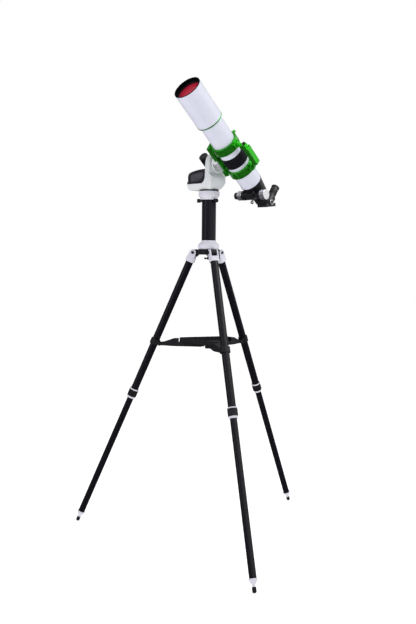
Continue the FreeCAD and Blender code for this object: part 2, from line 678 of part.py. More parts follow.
# ---- telescope ------------------------------------------------------------------------
def dovetail_bar():
    low, high = BAR_S
    section = [(BAR_FACE_A, -BAR_HALF_FACE, low), (BAR_FACE_A, BAR_HALF_FACE, low),
               (BAR_TOP_A, BAR_HALF_TOP, low), (BAR_TOP_A, -BAR_HALF_TOP, low)]
    bar = prism(section, (0, 0, high - low))
    ends = round_edges(box((-90, -30, low), (-50, 30, high)), 8,
                       lambda edge: along(edge, (1, 0, 0)))
    return bar.common(ends)


def ring_span(outer, inner, start, end, low, high):
    """Part of a tube ring between two angles."""
    hole = rod(inner, (0, 0, low - 1), (0, 0, high + 1))
    return pie(outer, start, end - start, low, high).cut(hole)


def ear(side, low, high):
    """Clamp ear beside the split, on one side of it."""
    near = 0.9 * side
    far = 8.5 * side
    low_b, high_b = sorted((near, far))
    block = box((RING_R - 5, low_b, low + 6), (RING_R + 9, high_b, high - 6))
    return turned(block, RING_SPLIT)


def hinge_point():
    angle = math.radians(RING_HINGE)
    reach = RING_R + 6.2
    return (reach * math.cos(angle), reach * math.sin(angle))


def knuckle(low, high, web_angle):
    """Hinge barrel with a web back to the ring."""
    barrel = rod(5.4, hinge_point() + (low,), hinge_point() + (high,))
    web = turned(box((RING_R - 4, -2.5, low), (RING_R + 5, 2.5, high)), web_angle)
    return fuse([barrel, web])


def ring_base(span):
    """Half that sits on the dovetail bar, with the hinge pin."""
    low, high = span
    arc = ring_span(RING_R, TUBE_R, RING_HINGE + 0.6, 360 + RING_SPLIT - 0.9, low, high)
    foot_block = box((BAR_TOP_A, -13.5, low), (-TUBE_R - 2, 13.5, high))
    third = (high - low) / 3
    parts = [arc, foot_block, ear(-1, low, high),
             knuckle(low, low + third, RING_HINGE + 6), knuckle(high - third, high, RING_HINGE + 6)]
    body = fuse(parts).cut(rod(TUBE_R, (0, 0, low - 1), (0, 0, high + 1)))
    middle = (low + high) / 2
    hole = turned(rod(4.2, (RING_R + 3.5, -12, middle), (RING_R + 3.5, 0, middle)), RING_SPLIT)
    pin = rod(2.5, hinge_point() + (low,), hinge_point() + (high,))
    return fuse([body.cut(hole), pin])


def ring_cap(span):
    """Half that swings open, with the boss for the handle."""
    low, high = span
    inner = TUBE_R + CAP_SLIP
    arc = ring_span(RING_R, inner, RING_SPLIT + 0.9, RING_HINGE - 0.6, low, high)
    third = (high - low) / 3
    boss = box((TUBE_R + 2, -9, low + 3), (HANDLE_SEAT_A, 9, high - 9))
    side_boss = turned(rod(6, (RING_R - 3, 0, high - 8), (RING_R + 5, 0, high - 8)), 74)
    parts = [arc, boss, side_boss, ear(1, low, high),
             knuckle(low + third + 0.4, high - third - 0.4, RING_HINGE - 6)]
    body = fuse(parts).cut(rod(inner, (0, 0, low - 1), (0, 0, high + 1)))
    middle = (low + high) / 2
    reach = RING_R + 3.5
    hole = fuse([rod(3, (reach, 0, middle), (reach, 12, middle)),
                 rod(5.3, (reach, 8.5, middle), (reach, 40, middle))])
    bore = rod(2.5 + RUNNING, hinge_point() + (low,), hinge_point() + (high,))
    return body.cut(turned(hole, RING_SPLIT)).cut(bore)


def ring_screws():
    """Clamp screw through the ears of each ring, and the lock screw on its side boss."""
    screws = []
    for low, high in (RING_1, RING_2):
        middle = (low + high) / 2
        reach = RING_R + 3.5
        screw = fuse([rod(3, (reach, -7, middle), (reach, 9, middle)),
                      rod(4.8, (reach, 8.6, middle), (reach, 12.5, middle))])
        screws.append(turned(screw, RING_SPLIT))
        side = fuse([rod(3.4, (RING_R + 5, 0, high - 8), (RING_R + 7, 0, high - 8)),
                     rod(5.2, (RING_R + 7, 0, high - 8), (RING_R + 11.5, 0, high - 8))])
        screws.append(turned(side, 74))
    return screws


def carry_handle():
    """Grip bar over both rings, with a foot on each ring's boss."""
    low, high = HANDLE_S
    bar = box((HANDLE_INNER_A, -HANDLE_HALF, low), (HANDLE_OUTER_A, HANDLE_HALF, high))
    bar = round_edges(bar, 2.5, lambda edge: along(edge, (0, 0, 1)))
    for index in range(2):
        groove_a = HANDLE_INNER_A + 5 + index * 6
        for side in (-1, 1):
            groove = rod(1.6, (groove_a, side * HANDLE_HALF, low - 1),
                         (groove_a, side * HANDLE_HALF, high + 1))
            bar = bar.cut(groove)
    front = box((HANDLE_SEAT_A, -9, high - 2), (HANDLE_OUTER_A - 6, 9, HANDLE_BLOCK_END))
    rear = prism([(HANDLE_INNER_A + 2, -9, 6), (HANDLE_INNER_A + 2, -9, low), (HANDLE_SEAT_A, -9, -33),
                  (HANDLE_SEAT_A, -9, low - 2)], (0, 18, 0))
    return fuse([bar, front, rear])


def handle_screw():
    """Black screw on the front block."""
    face = HANDLE_BLOCK_END
    return fuse([rod(3, (80, 3, face), (80, 3, face + 2)),
                 rod(4.6, (80, 3, face + 1), (80, 3, face + 6))])


def main_tube():
    return tube(TUBE_R, TUBE_BORE_R, (0, 0, TUBE_REAR), (0, 0, TUBE_FRONT))


def tube_grip():
    return tube(GRIP_R, TUBE_R, (0, 0, GRIP_S[0]), (0, 0, GRIP_S[1]))


def dew_shield():
    return tube(SHIELD_R, SHIELD_BORE_R, (0, 0, SHIELD_REAR), (0, 0, SHIELD_FRONT))


def trim_ring():
    """Green ring on the dew shield's rear end, which slides on the tube."""
    return lathe([(TUBE_R + 0.4, TRIM_REAR), (SHIELD_R - 0.4, TRIM_REAR),
                  (SHIELD_R + 0.5, TRIM_REAR + 1), (SHIELD_R + 0.5, SHIELD_REAR),
                  (SHIELD_BORE_R, SHIELD_REAR), (SHIELD_BORE_R, SHIELD_REAR + 5),
                  (TUBE_R + 0.4, SHIELD_REAR + 5)])


def objective_cell():
    guide = SHIELD_BORE_R - 0.4
    lip = LENS_R - 1
    return lathe([(TUBE_R, TUBE_FRONT - 12), (guide, TUBE_FRONT - 12), (guide, CELL_FRONT),
                  (lip, CELL_FRONT), (lip, CELL_FRONT - 2), (LENS_R, CELL_FRONT - 2),
                  (LENS_R, LENS_REAR), (TUBE_BORE_R, LENS_REAR), (TUBE_BORE_R, TUBE_FRONT),
                  (TUBE_R, TUBE_FRONT)])


def objective_lens():
    """Doublet drawn as one bulged disc."""
    high = CELL_FRONT - 2
    disc = rod(LENS_R, (0, 0, LENS_REAR), (0, 0, high))
    front = Part.makeSphere(LENS_CURVE, vec((0, 0, high - LENS_CURVE)))
    back = Part.makeSphere(LENS_CURVE, vec((0, 0, LENS_REAR + LENS_CURVE)))
    return disc.common(front).common(back)


def focuser_housing():
    body = lathe([(TUBE_BORE_R, TUBE_REAR + 14), (TUBE_BORE_R - 3, TUBE_REAR + 14),
                  (TUBE_BORE_R - 5, -118), (DRAWTUBE_R + 0.4, -124),
                  (DRAWTUBE_R + 0.4, FOCUSER_END), (35, FOCUSER_END), (36, FOCUSER_END + 3),
                  (TUBE_R - 0.4, TUBE_REAR - 4), (TUBE_R + 0.6, TUBE_REAR - 3),
                  (TUBE_R + 0.6, TUBE_REAR), (TUBE_BORE_R, TUBE_REAR)])
    block = box((-22, AXLE_B - 12, AXLE_S - 17), (22, -26, AXLE_S + 16))
    block = round_edges(block, 5, lambda edge: along(edge, (1, 0, 0)) and edge.BoundBox.YMax < -50)
    pinion_room = rod(10, (-12, AXLE_B, AXLE_S), (12, AXLE_B, AXLE_S))
    rack_room = box((-5, -36, -215), (5, -20, -118))
    axle = rod(3 + RUNNING, (-40, AXLE_B, AXLE_S), (40, AXLE_B, AXLE_S))
    bore = rod(DRAWTUBE_R + 0.4, (0, 0, -215), (0, 0, -119))
    return fuse([body, block]).cut(bore).cut(pinion_room).cut(rack_room).cut(axle)


def drawtube():
    """Sliding tube with its rack, and the clamp collar at the rear."""
    pipe = tube(DRAWTUBE_R, DRAWTUBE_R - 2, (0, 0, -196), (0, 0, -112))
    rack = box((-4, -33.4, -190), (4, -26.8, -114)).cut(rod(DRAWTUBE_R - 1, (0, 0, -200), (0, 0, -100)))
    collar = tube(31, 25.6, (0, 0, -206), (0, 0, -186))
    adapter = tube(25.6, 16.0, (0, 0, -208), (0, 0, -190))
    return fuse([pipe, rack, collar, adapter])


def pinion_shaft():
    shaft = rod(3, (-62, AXLE_B, AXLE_S), (74, AXLE_B, AXLE_S))
    pinion = rod(9.2, (-8, AXLE_B, AXLE_S), (8, AXLE_B, AXLE_S))
    sleeve = rod(9, (22.4, AXLE_B, AXLE_S), (56, AXLE_B, AXLE_S))
    return fuse([shaft, pinion, sleeve])


def knob(radius, low, high, flutes):
    """Fluted knob on the focuser axle."""
    body = rod(radius, (low, AXLE_B, AXLE_S), (high, AXLE_B, AXLE_S))
    rims = round_edges(body, 1.2, lambda edge: not isinstance(edge.Curve, Part.Line))
    for index in range(flutes):
        flute = rod(1.0, (low + 4, AXLE_B + radius + 0.4, AXLE_S),
                    (high - 4, AXLE_B + radius + 0.4, AXLE_S))
        rims = rims.cut(turned(flute, index * 360 / flutes, (1, 0, 0), (0, AXLE_B, AXLE_S)))
    return rims


def coarse_knobs():
    near = knob(20, 56, 78, 24).cut(rod(3, (50, AXLE_B, AXLE_S), (74, AXLE_B, AXLE_S)))
    far = knob(18.5, -53.5, -33, 24).cut(rod(3, (-60, AXLE_B, AXLE_S), (-30, AXLE_B, AXLE_S)))
    return [near, far]


def gear_reducer():
    """Black disc that holds the fine focus gears, fixed to the housing."""
    disc = rod(19, (-32, AXLE_B, AXLE_S), (-22, AXLE_B, AXLE_S))
    disc = round_edges(disc, 1.5, lambda edge: edge.BoundBox.XMax < -31)
    return disc.cut(rod(3 + RUNNING, (-40, AXLE_B, AXLE_S), (0, AXLE_B, AXLE_S)))


def fine_knob():
    cap = knob(13.5, -70, -55, 18)
    return cap.cut(rod(3 + RUNNING, (-62.4, AXLE_B, AXLE_S), (-50, AXLE_B, AXLE_S)))


def elbow_frame(shape):
    """Shapes drawn round the elbow point, put on the tube axis."""
    return moved(shape, (0, 0, ELBOW_S))


def star_diagonal():
    """Elbow body with the mirror plate, the nose and the eyepiece holder."""
    nose = rod(15.9, (0, 0, 24), (0, 0, 52))
    front = rod(23, (0, 0, -26), (0, 0, 34))
    upper = rod(20.5, (0, -26, 0), (0, 30, 0))
    holder = rod(20.5, (0, 26, 0), (0, 42, 0))
    body = fuse([front, upper, holder])
    mirror = turned(box((-60, -60, -90), (60, 60, -3)), -45, (1, 0, 0))
    body = body.cut(mirror)
    plate = box((-22.5, -32.5, -6.5), (22.5, 32.5, 7))
    plate = round_edges(plate, 3, lambda edge: along(edge, (0, 0, 1)))
    plate = turned(plate, -45, (1, 0, 0))
    light = fuse([rod(13, (0, 0, 0), (0, 0, 60)), rod(13, (0, 0, 0), (0, 60, 0)),
                  Part.makeSphere(13, vec((0, 0, 0)))]).cut(mirror)
    socket = rod(EYEPIECE_R + RUNNING, (0, 22, 0), (0, 60, 0))
    body = fuse([body, nose, plate]).cut(light).cut(socket)
    return elbow_frame(body)


def side_cap():
    """Round locking cap on the diagonal's side."""
    cap = rod(10, (20, 8, 8), (27, 8, 8))
    return elbow_frame(round_edges(cap, 1.2, lambda edge: edge.BoundBox.XMin > 26))


def eyepiece():
    """Barrel, body and rubber eyecup, hollow along the light path."""
    cup = EYEPIECE_TOP
    body = fuse([rod(EYEPIECE_R, (0, 23, 0), (0, cup - 9, 0)),
                 rod(EYEPIECE_R + 1.6, (0, 42.6, 0), (0, 49, 0)),
                 Part.makeCone(EYEPIECE_R, EYEPIECE_R + 1.2, 9, vec((0, cup - 9, 0)), vec((0, 1, 0)))])
    sight = Part.makeCone(9, 12, 12, vec((0, cup - 9, 0)), vec((0, 1, 0)))
    barrel = rod(12, (0, 20, 0), (0, 44, 0))
    return elbow_frame(body.cut(sight).cut(barrel))


# ---- assembly -------------------------------------------------------------------------
def make_head():
    keep("hub_plate", [hub_plate()])
    keep("hinge_bolts", hinge_bolts())
    keep("centre_bolt", [centre_bolt()])
    keep("pillar_base_flange", [pillar_base_flange()])
    keep("pillar_tube", [pillar_tube()])
    keep("pillar_top_flange", [pillar_top_flange()])
    keep("pillar_screws", pillar_screws())
    keep("spreader_hub", [spreader_hub()])
    keep("accessory_tray", [accessory_tray()])
    keep("tray_knob", [tray_knob()])


def make_mount():
    keep("azimuth_base", [azimuth_base()])
    keep("mount_shell", [mount_shell()])
    keep("battery_cover", [battery_cover()])
    keep("battery_cells", battery_cells())
    keep("altitude_shaft", [altitude_shaft()])
    keep("saddle", [on_tube(saddle())])
    keep("saddle_jaw", [on_tube(saddle_jaw())])
    keep("saddle_knob", [on_tube(saddle_knob())])
    keep("sun_sensor", [on_tube(sun_sensor())])


def make_telescope():
    keep("dovetail_bar", [on_tube(dovetail_bar())])
    keep("ring_base_front", [on_tube(ring_base(RING_1))])
    keep("ring_base_rear", [on_tube(ring_base(RING_2))])
    keep("ring_cap_front", [on_tube(ring_cap(RING_1))])
    keep("ring_cap_rear", [on_tube(ring_cap(RING_2))])
    keep("ring_screws", [on_tube(screw) for screw in ring_screws()])
    keep("carry_handle", [on_tube(carry_handle()), on_tube(handle_screw())])
    keep("main_tube", [on_tube(main_tube())])
    keep("tube_grip", [on_tube(tube_grip())])
    keep("dew_shield", [on_tube(dew_shield())])
    keep("trim_ring", [on_tube(trim_ring())])
    keep("objective_cell", [on_tube(objective_cell())])
    keep("objective_lens", [on_tube(objective_lens())])
    keep("focuser_housing", [on_tube(focuser_housing()), on_tube(gear_reducer())])
    keep("drawtube", [on_tube(drawtube())])
    keep("pinion_shaft", [on_tube(pinion_shaft())])
    keep("coarse_knobs", [on_tube(piece) for piece in coarse_knobs()])
    keep("fine_knob", [on_tube(fine_knob())])
    keep("star_diagonal", [on_tube(star_diagonal()), on_tube(side_cap())])
    keep("eyepiece", [on_tube(eyepiece())])


def bottom_centre():
    """Middle of the whole model's bounding box in X and Y, on the floor."""
    whole = FreeCAD.BoundBox()
    for shape in PARTS.values():
        whole.add(shape.optimalBoundingBox())
    return whole.Center.x, whole.Center.y


make_legs()
make_head()
make_mount()
make_telescope()
CENTRE_X, CENTRE_Y = bottom_centre()
os.makedirs("parts", exist_ok=True)
for node, solid in PARTS.items():
    moved(solid, (-CENTRE_X, -CENTRE_Y, 0)).exportStep("parts/" + node + ".step")
print(len(PARTS), "nodes, origin at", round(CENTRE_X, 3), round(CENTRE_Y, 3))
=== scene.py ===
import json
import math

import bpy
from mathutils import Matrix, Vector


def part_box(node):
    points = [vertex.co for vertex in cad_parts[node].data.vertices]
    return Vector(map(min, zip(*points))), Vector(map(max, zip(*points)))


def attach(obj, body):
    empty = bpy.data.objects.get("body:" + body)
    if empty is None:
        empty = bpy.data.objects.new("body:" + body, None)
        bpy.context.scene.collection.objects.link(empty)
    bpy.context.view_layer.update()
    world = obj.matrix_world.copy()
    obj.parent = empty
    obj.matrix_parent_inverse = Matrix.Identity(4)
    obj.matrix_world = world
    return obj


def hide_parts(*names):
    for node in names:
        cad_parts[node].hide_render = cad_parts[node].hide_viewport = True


# Looks of a refractor telescope on its arm mount, pillar and tripod. The frame is in
# metres; outlines of turned and flat pieces are in millimetres.
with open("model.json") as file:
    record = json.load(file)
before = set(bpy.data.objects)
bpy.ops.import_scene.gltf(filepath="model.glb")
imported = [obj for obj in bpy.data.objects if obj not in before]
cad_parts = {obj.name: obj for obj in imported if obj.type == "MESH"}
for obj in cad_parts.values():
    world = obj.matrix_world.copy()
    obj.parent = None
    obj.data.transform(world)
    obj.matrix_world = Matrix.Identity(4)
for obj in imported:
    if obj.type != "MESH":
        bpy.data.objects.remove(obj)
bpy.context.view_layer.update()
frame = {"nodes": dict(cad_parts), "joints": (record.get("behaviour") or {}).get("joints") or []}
NODES = frame["nodes"]
JOINTS = {joint["name"]: joint for joint in frame["joints"]}
SIDES = ("front", "right", "left")
MM = 0.001
CORE = 0.05  # mm; innermost radius of a turned piece that is solid through

# ---- places, read from the frame ------------------------------------------------------
PILLAR = Vector(JOINTS["azimuth"]["pos_m"])
NORMAL = Vector((1, 0, 0))
ALONG = Vector(JOINTS["dew_shield_slide"]["axis"]).normalized()
ACROSS = Vector(JOINTS["saddle_jaw_slide"]["axis"]).normalized()
TUBE_LOW, TUBE_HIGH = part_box("main_tube")
TUBE_ORIGIN = Vector(JOINTS["altitude"]["pos_m"])
TUBE_ORIGIN.x = (TUBE_LOW.x + TUBE_HIGH.x) / 2


def basis(origin, x, y, z):
    """Matrix whose columns are three axes and an origin."""
    columns = Matrix((x, y, z)).transposed().to_4x4()
    columns.translation = origin
    return columns


TUBE = basis(TUBE_ORIGIN, NORMAL, ACROSS, ALONG)


def leg_frame(side):
    """Hinge at the origin, Z up the leg, X outward."""
    up = Vector(JOINTS[f"lower_leg_{side}_slide"]["axis"]).normalized()
    tangent = Vector(JOINTS[f"leg_{side}_fold"]["axis"]).normalized()
    return basis(Vector(JOINTS[f"leg_{side}_fold"]["pos_m"]), tangent.cross(up), tangent, up)


def depth(node, place):
    """Lowest and highest local Z of a CAD node in a frame."""
    inverse = place.inverted()
    heights = [(inverse @ vertex.co).z for vertex in NODES[node].data.vertices]
    return min(heights), max(heights)


# ---- materials ------------------------------------------------------------------------
class Look:
    """A node material under construction."""

    def __init__(self, name):
        self.material = bpy.data.materials.new(name)
        self.material.use_nodes = True
        self.tree = self.material.node_tree
        self.shader = self.tree.nodes["Principled BSDF"]
        coordinate = self.tree.nodes.new("ShaderNodeTexCoord")
        self.here = coordinate.outputs["Object"]

    def node(self, kind, **values):
        made = self.tree.nodes.new(kind)
        for key, value in values.items():
            if key in made.inputs:
                made.inputs[key].default_value = value
            else:
                setattr(made, key, value)
        return made

    def link(self, out, into):
        self.tree.links.new(out, into)

    def stretched(self, turn, scale):
        """Object coordinates turned into a frame and scaled, for streaks along one axis."""
        mapping = self.node("ShaderNodeMapping", vector_type="POINT")
        mapping.inputs["Rotation"].default_value = turn.to_euler()
        mapping.inputs["Scale"].default_value = scale
        self.link(self.here, mapping.inputs["Vector"])
        return mapping.outputs["Vector"]

    def noise(self, size, detail=3.0, where=None):
        """Noise whose grains are about size metres."""
        texture = self.node("ShaderNodeTexNoise", Scale=1 / size, Detail=detail)
        self.link(where or self.here, texture.inputs["Vector"])
        return texture.outputs["Fac"]

    def ramp(self, value, low, high, start=0.3, end=0.7):
        """Map a value between two places onto two numbers."""
        spread = self.node("ShaderNodeMapRange")
        for key, number in (("From Min", start), ("From Max", end), ("To Min", low), ("To Max", high)):
            spread.inputs[key].default_value = number
        self.link(value, spread.inputs["Value"])
        return spread.outputs["Result"]

    def blend(self, value, first, second):
        """Colour between two, by a value from 0 to 1. Either may be a socket."""
        mix = self.node("ShaderNodeMix", data_type="RGBA")
        colours = [socket for socket in mix.inputs if socket.type == "RGBA"]
        for socket, colour in zip(colours, (first, second)):
            if isinstance(colour, tuple):
                socket.default_value = (*colour, 1)
            else:
                self.link(colour, socket)
        self.link(value, mix.inputs["Factor"])
        return [socket for socket in mix.outputs if socket.type == "RGBA"][0]

    def edges(self, radius):
        """Softened normal, and a mask that is 1 on edges, used for wear and a painted edge highlight."""
        bevel = self.node("ShaderNodeBevel", samples=4, Radius=radius)
        geometry = self.node("ShaderNodeNewGeometry")
        dot = self.node("ShaderNodeVectorMath", operation="DOT_PRODUCT")
        self.link(bevel.outputs["Normal"], dot.inputs[0])
        self.link(geometry.outputs["Normal"], dot.inputs[1])
        mask = self.ramp(dot.outputs["Value"], 1.0, 0.0, 0.80, 0.985)
        return bevel.outputs["Normal"], mask

    def bump(self, height, depth_m, normal=None, strength=1.0):
        bump = self.node("ShaderNodeBump", Strength=strength, Distance=depth_m)
        self.link(height, bump.inputs["Height"])
        if normal is not None:
            self.link(normal, bump.inputs["Normal"])
        return bump.outputs["Normal"]

    def finish(self, **values):
        for key, value in values.items():
            socket = self.shader.inputs[key.replace("_", " ")]
            if isinstance(value, bpy.types.NodeSocket):
                self.link(value, socket)
            elif isinstance(value, tuple):
                socket.default_value = (*value, 1)
            else:
                socket.default_value = value
        return self.material


def paint(name, colour, shade, rough, grain=0.0006, grain_depth=0.00002, coat=0.0, edge=0.0007,
          edge_wear_and_highlight=None, specular=0.5):
    """Painted or moulded surface: cloudy colour, fine grain and softened edges; where an edge colour is
    given, edges are lightened for wear and a painted edge highlight.
    """
    look = Look(name)
    normal, mask = look.edges(edge)
    cloud = look.ramp(look.noise(0.045), 0.0, 1.0)
    body = look.blend(cloud, colour, shade)
    # Edges lightened: partly wear, partly a painted edge highlight.
    body = look.blend(mask, body, edge_wear_and_highlight or colour)
    fine = look.noise(grain, 2.0)
    roughness = look.ramp(look.noise(0.012, 4.0), rough * 0.88, rough * 1.12)
    return look.finish(Base_Color=body, Roughness=roughness, Coat_Weight=coat, Coat_Roughness=0.12,
                       Specular_IOR_Level=specular, Normal=look.bump(fine, grain_depth, normal))


def anodised(name, dark, bright, turn, rough=0.24, metallic=1.0):
    """Turned and anodised aluminium: fine lines round one axis, brighter along its edges for wear and a
    painted edge highlight.
    """
    look = Look(name)
    normal, mask = look.edges(0.0009)
    lines = look.noise(0.001, 3.0, look.stretched(turn, (0.06, 0.06, 1.6)))
    body = look.blend(look.ramp(lines, 0.0, 1.0), dark, bright)
    # Edges brighter: wear and a painted edge highlight.
    body = look.blend(mask, body, tuple(min(1.0, channel * 1.5) for channel in bright))
    roughness = look.ramp(lines, rough * 0.8, rough * 1.3)
    return look.finish(Base_Color=body, Metallic=metallic, Roughness=roughness,
                       Normal=look.bump(lines, 0.00002, normal))


def drawn_tube(name, dark, light, turn, rough):
    """Powder-coated tube with faint streaks along its length, and edges lightened for wear and a painted
    edge highlight.
    """
    look = Look(name)
    normal, mask = look.edges(0.0006)
    streaks = look.noise(0.006, 4.0, look.stretched(turn, (1.0, 1.0, 0.02)))
    grain = look.noise(0.0007, 2.0)
    body = look.blend(look.ramp(streaks, 0.0, 1.0), dark, light)
    # Edges lightened: wear and a painted edge highlight.
    body = look.blend(mask, body, tuple(channel * 2.2 for channel in light))
    roughness = look.ramp(streaks, rough * 0.8, rough * 1.2)
    return look.finish(Base_Color=body, Roughness=roughness, Specular_IOR_Level=0.16,
                       Normal=look.bump(grain, 0.00003, normal))


def glass_with_painted_reflection(name, colour, grazing_reflection):
    """Objective glass whose coating's coloured reflection is painted into its colour, shifting with the
    facing angle as a painted sheen, with a faint painted glow.
    """
    look = Look(name)
    facing = look.node("ShaderNodeLayerWeight", Blend=0.35).outputs["Facing"]
    swirl = look.ramp(look.noise(0.05), 0.0, 0.25)
    body = look.blend(look.ramp(facing, 0.0, 1.0, 0.2, 0.95), colour, grazing_reflection)
    body = look.blend(swirl, body, grazing_reflection)
    # Painted reflection and glow: the colour stands in for the coating's reflection, and the emission makes
    # the glass glow faintly though it is no lamp.
    return look.finish(Base_Color=body, Roughness=0.4, Coat_Weight=0.1, Coat_Roughness=0.2,
                       Specular_IOR_Level=0.25, Emission_Color=colour, Emission_Strength=0.12)


TUBE_TURN = TUBE.to_3x3().inverted()
WHITE_PAINT = paint("white_enamel_paint", (0.66, 0.67, 0.77), (0.63, 0.64, 0.75), 0.34, 0.0011,
                    0.000006, coat=0.2)
WHITE_CASE = paint("white_moulded_case", (0.69, 0.71, 0.73), (0.65, 0.68, 0.69), 0.45, 0.0007,
                   0.00002, edge=0.001)
WHITE_PLASTIC = paint("white_moulded_plastic", (0.70, 0.70, 0.78), (0.65, 0.65, 0.73), 0.45, 0.0007,
                      0.00002)
CHARCOAL_PAINT = drawn_tube("charcoal_powder_coat", (0.004, 0.004, 0.006), (0.010, 0.009, 0.015),
                            Matrix.Identity(3), 0.31)
BLACK_PLASTIC = paint("black_moulded_plastic", (0.008, 0.008, 0.010), (0.013, 0.013, 0.016), 0.48,
                      0.0006, 0.00004, edge_wear_and_highlight=(0.03, 0.03, 0.035), specular=0.18)
BLACK_METAL = paint("black_satin_anodised", (0.006, 0.006, 0.008), (0.011, 0.011, 0.014), 0.34,
                    0.0008, 0.00001, edge_wear_and_highlight=(0.045, 0.045, 0.05), specular=0.3)
BATTERY_GREY = paint("battery_box_grey", (0.017, 0.015, 0.023), (0.025, 0.022, 0.033), 0.50, 0.0012,
                     0.00009, edge_wear_and_highlight=(0.03, 0.028, 0.04), specular=0.16)
PANEL_GREY = paint("battery_panel_grey", (0.050, 0.048, 0.058), (0.100, 0.096, 0.110), 0.42, 0.0012,
                   0.00012, edge_wear_and_highlight=(0.09, 0.085, 0.11), specular=0.2)
RUBBER = paint("black_rubber", (0.009, 0.009, 0.011), (0.015, 0.015, 0.018), 0.72, 0.0010, 0.00010,
               specular=0.12)
GRIP_RUBBER = paint("ribbed_grip_rubber", (0.005, 0.005, 0.008), (0.010, 0.009, 0.014), 0.5, 0.0008,
                    0.00006, edge_wear_and_highlight=(0.022, 0.021, 0.028), specular=0.10)
# Flat black for the dew shield's lining, and also the painted shade laid in the saddle's slots.
FLAT_BLACK_LINING_AND_SLOT_SHADE = paint("flat_black_lining_and_slot_shade", (0.0015, 0.0015, 0.002), (0.003, 0.003, 0.0035), 0.9, 0.0009,
                     0.00005, edge_wear_and_highlight=(0.006, 0.006, 0.007), specular=0.04)
GREEN = anodised("green_anodised", (0.012, 0.26, 0.010), (0.060, 0.58, 0.030), TUBE_TURN, 0.20, 0.86)
SILVER = anodised("polished_silver", (0.60, 0.60, 0.62), (0.76, 0.76, 0.78), Matrix.Identity(3), 0.16)
STEEL = anodised("plain_steel", (0.16, 0.16, 0.17), (0.28, 0.28, 0.30), Matrix.Identity(3), 0.30)
# Painted reflection: the lens's red is the coating's reflection painted into its colour, with a faint
# painted glow.
LENS_RED_REFLECTION = glass_with_painted_reflection("red_painted_coating_reflection", (0.55, 0.016, 0.045), (0.42, 0.012, 0.036))
# Dark glass window, with the same painted sheen and faint painted glow.
WINDOW = glass_with_painted_reflection("dark_window", (0.015, 0.015, 0.02), (0.05, 0.05, 0.06))
CELL_WRAP = paint("cell_wrap", (0.02, 0.03, 0.08), (0.03, 0.04, 0.10), 0.4)


def leg_material(side):
    """Powder coat whose streaks run along one leg."""
    turn = leg_frame(side).to_3x3().inverted()
    dark = (0.003, 0.003, 0.005)
    light = (0.007, 0.007, 0.011)
    return drawn_tube(f"leg_powder_coat_{side}", dark, light, turn, 0.28)


# ---- mesh helpers ---------------------------------------------------------------------
def shade(mesh, degrees=32):
    """Smooth shading that keeps edges sharper than an angle."""
    for face in mesh.polygons:
        face.use_smooth = True
    mesh.set_sharp_from_angle(angle=math.radians(degrees))


def add_piece(name, mesh, material, body, replaces=(), place=None):
    """Put a mesh into the scene, riding on a body."""
    if place is not None:
        mesh.transform(place)
    mesh.materials.append(material)
    piece = bpy.data.objects.new(name, mesh)
    bpy.context.scene.collection.objects.link(piece)
    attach(piece, body)
    if replaces:
        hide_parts(*replaces)
    return piece


def turned_mesh(name, profile, segments=96, ribs=0, rib_depth=0.0, rib_rows=()):
    """Surface of revolution from (radius, height) points in mm, closed into a ring.

    Rows named in rib_rows are drawn in between the ribs, so that a collar gets grooves.
    """
    count = ribs * 4 if ribs else segments
    vertices = []
    for step in range(count):
        angle = 2 * math.pi * step / count
        groove = rib_depth if ribs and step % 4 in (0, 1) else 0.0
        for row, (radius, height) in enumerate(profile):
            reach = (radius - (groove if row in rib_rows else 0.0)) * MM
            vertices.append((reach * math.cos(angle), reach * math.sin(angle), height * MM))
    rows = len(profile)
    faces = []
    for step in range(count):
        after = (step + 1) % count
        for row in range(rows):
            up = (row + 1) % rows
            faces.append((step * rows + row, after * rows + row, after * rows + up, step * rows + up))
    mesh = bpy.data.meshes.new(name)
    mesh.from_pydata(vertices, [], faces)
    mesh.update()
    shade(mesh)
    return mesh


def soft_profile(corners, radius=0.6, steps=3):
    """Round the corners of a closed outline of (radius, height) points in mm."""
    points = []
    total = len(corners)
    for index in range(total):
        corner = Vector(corners[index])
        before = Vector(corners[index - 1]) - corner
        after = Vector(corners[(index + 1) % total]) - corner
        reach = min(radius, before.length * 0.4, after.length * 0.4)
        start = corner + before.normalized() * reach
        end = corner + after.normalized() * reach
        for step in range(steps + 1):
            t = step / steps
            points.append(tuple(start * (1 - t) ** 2 + corner * 2 * t * (1 - t) + end * t ** 2))
    return points


def turned(name, corners, material, body, place, radius=0.6, replaces=(), slot=None, **ribs):
    """Turned piece from its outline, with rounded corners and, if asked for, ribs."""
    profile = soft_profile(corners, radius)
    if "rib_between" in ribs:
        low, high, outside = ribs.pop("rib_between")
        rows = [row for row, (r, z) in enumerate(profile) if low < z < high and r > outside]
        ribs["rib_rows"] = rows
    mesh = turned_mesh(name, profile, **ribs)
    return add_piece(name, mesh, material, body, replaces, place)


def evaluated(holder):
    """Mesh of an object with its modifiers applied; the draft object is removed."""
    bpy.context.view_layer.update()
    graph = bpy.context.evaluated_depsgraph_get()
    mesh = bpy.data.meshes.new_from_object(holder.evaluated_get(graph))
    bpy.data.objects.remove(holder)
    return mesh


def rounded_box(name, low, high, bevel, material, body, place):
    """Block with rounded edges, corners in mm in a local frame."""
    low = Vector(low) * MM
    high = Vector(high) * MM
    corners = [(x, y, z) for x in (low.x, high.x) for y in (low.y, high.y) for z in (low.z, high.z)]
    faces = [(0, 1, 3, 2), (4, 6, 7, 5), (0, 4, 5, 1), (2, 3, 7, 6), (0, 2, 6, 4), (1, 5, 7, 3)]
    mesh = bpy.data.meshes.new(name)
    mesh.from_pydata(corners, [], faces)
    holder = bpy.data.objects.new(name + "_draft", mesh)
    bpy.context.scene.collection.objects.link(holder)
    edge = holder.modifiers.new("edge", "BEVEL")
    edge.width = bevel * MM
    edge.segments = 4
    made = evaluated(holder)
    shade(made, 40)
    return add_piece(name, made, material, body, (), place)


